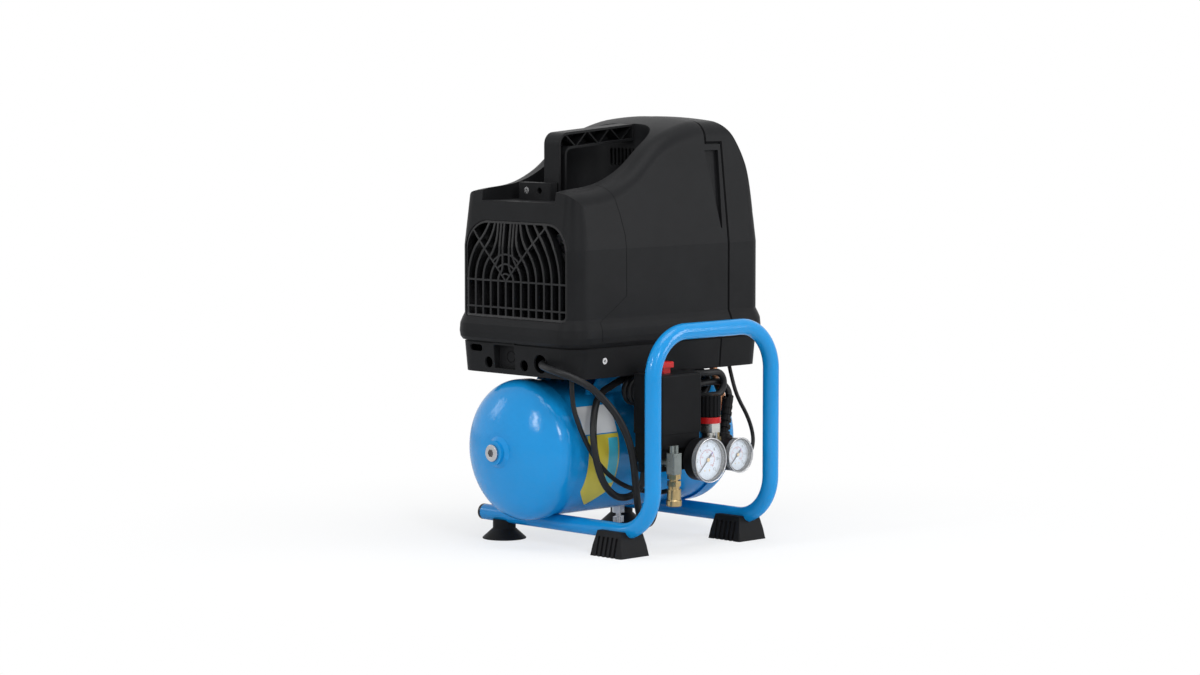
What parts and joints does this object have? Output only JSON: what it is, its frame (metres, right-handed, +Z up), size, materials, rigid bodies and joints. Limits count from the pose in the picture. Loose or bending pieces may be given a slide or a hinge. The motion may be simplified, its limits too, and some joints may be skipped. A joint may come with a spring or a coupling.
{
  "type": "air compressor",
  "caption": "Portable oil-free air compressor: lying tank on a bent-tube cradle, motor and pump in a moulded housing with a carrying handle, switch, regulator and gauges at the front.",
  "frame": {"origin": "on the floor, below the middle of the whole part", "axes": "+X along the tank, +Y from the front guard loop to the back, +Z up"},
  "size_m": [0.386, 0.313, 0.5295],
  "materials": {
    "blue_paint": "glossy",
    "black_moulding": "fine textured",
    "black_plastic": "satin",
    "black_rubber": "matt",
    "red_plastic": "glossy",
    "brass": "machined",
    "steel": "zinc plated",
    "chrome": "bright",
    "copper": "drawn copper tube",
    "die_cast": "as cast",
    "iron": "laminated",
    "white_dial": "printed",
    "needle_black": "satin",
    "clear_cap": "clear"
  },
  "bodies": {
    "compressor": {"base_tray": "black_moulding", "carry_handle": "black_moulding", "check_valve": "brass", "connecting_rod": "die_cast", "coupler_body": "brass", "cradle_frame": "blue_paint", "crankcase": "die_cast", "cylinder_head": "die_cast", "cylinder_sleeve": "die_cast", "delivery_pipe": "copper", "drain_valve": "brass", "end_cowl": "black_moulding", "fan_grille": "black_moulding", "front_foot_left": "black_rubber", "front_foot_right": "black_rubber", "head_bolts": "steel", "housing_screws": "steel", "line_gauge_case": "black_plastic", "line_gauge_dial": "white_dial", "line_gauge_lens": "clear_cap", "main_cowl": "black_moulding", "mains_hank": "black_rubber", "mains_lead": "black_rubber", "mains_plug": "black_rubber", "manifold": "black_plastic", "motor_lead": "black_rubber", "motor_mounts": "black_rubber", "motor_stator": "iron", "outlet_block": "brass", "pressure_hose": "black_rubber", "rail_end_caps": "black_plastic", "rear_end_shield": "die_cast", "regulator_body": "black_plastic", "regulator_ring": "red_plastic", "relief_hose": "black_rubber", "saddle_bracket": "blue_paint", "safety_valve": "brass", "shaft_bearings": "steel", "suction_foot_left": "black_rubber", "suction_foot_right": "black_rubber", "switch_base": "black_plastic", "switch_cover": "black_plastic", "tank_gauge_case": "black_plastic", "tank_gauge_dial": "white_dial", "tank_gauge_lens": "clear_cap", "tank_head_left": "blue_paint", "tank_head_right": "blue_paint", "tank_plugs": "steel", "tank_shell": "blue_paint", "valve_plate": "steel"},
    "rotor": {"motor_rotor": "iron", "motor_shaft": "steel", "cooling_fan": "black_plastic", "crank_eccentric": "iron"},
    "button": {"switch_button": "red_plastic"},
    "knob": {"regulator_knob": "black_plastic"},
    "tank_pointer": {"tank_gauge_needle": "needle_black"},
    "line_pointer": {"line_gauge_needle": "needle_black"},
    "sleeve": {"coupler_sleeve": "chrome"},
    "drain": {"drain_screw": "brass"}
  },
  "joints": [
    {"name": "rotor_spin", "type": "hinge", "parent": "compressor", "child": "rotor", "pos_m": [0, 0.0565, 0.33], "axis": [1, 0, 0], "continuous": true},
    {"name": "button_press", "type": "slide", "parent": "compressor", "child": "button", "axis": [0, 0, 1], "range_m": [-0.006, 0], "stiffness_N_per_m": 400},
    {"name": "regulator_turn", "type": "hinge", "parent": "compressor", "child": "knob", "pos_m": [0.039, -0.102, 0.17], "axis": [0, 0, 1], "range_deg": [-720, 720]},
    {"name": "tank_pointer_turn", "type": "hinge", "parent": "compressor", "child": "tank_pointer", "pos_m": [-0.004, -0.142, 0.113], "axis": [0, 1, 0], "range_deg": [0, 270], "stiffness_Nm_per_rad": 0.0002},
    {"name": "line_pointer_turn", "type": "hinge", "parent": "compressor", "child": "line_pointer", "pos_m": [0.049, -0.142, 0.115], "axis": [0, 1, 0], "range_deg": [0, 270], "stiffness_Nm_per_rad": 0.0002},
    {"name": "coupler_release", "type": "slide", "parent": "compressor", "child": "sleeve", "axis": [0, 0, 1], "range_m": [0, 0.003], "stiffness_N_per_m": 1500, "springref_m": -0.002},
    {"name": "drain_turn", "type": "hinge", "parent": "compressor", "child": "drain", "pos_m": [0.027, 0.0455, 0.024], "axis": [0, 0, 1], "range_deg": [-360, 0]}
  ]
}
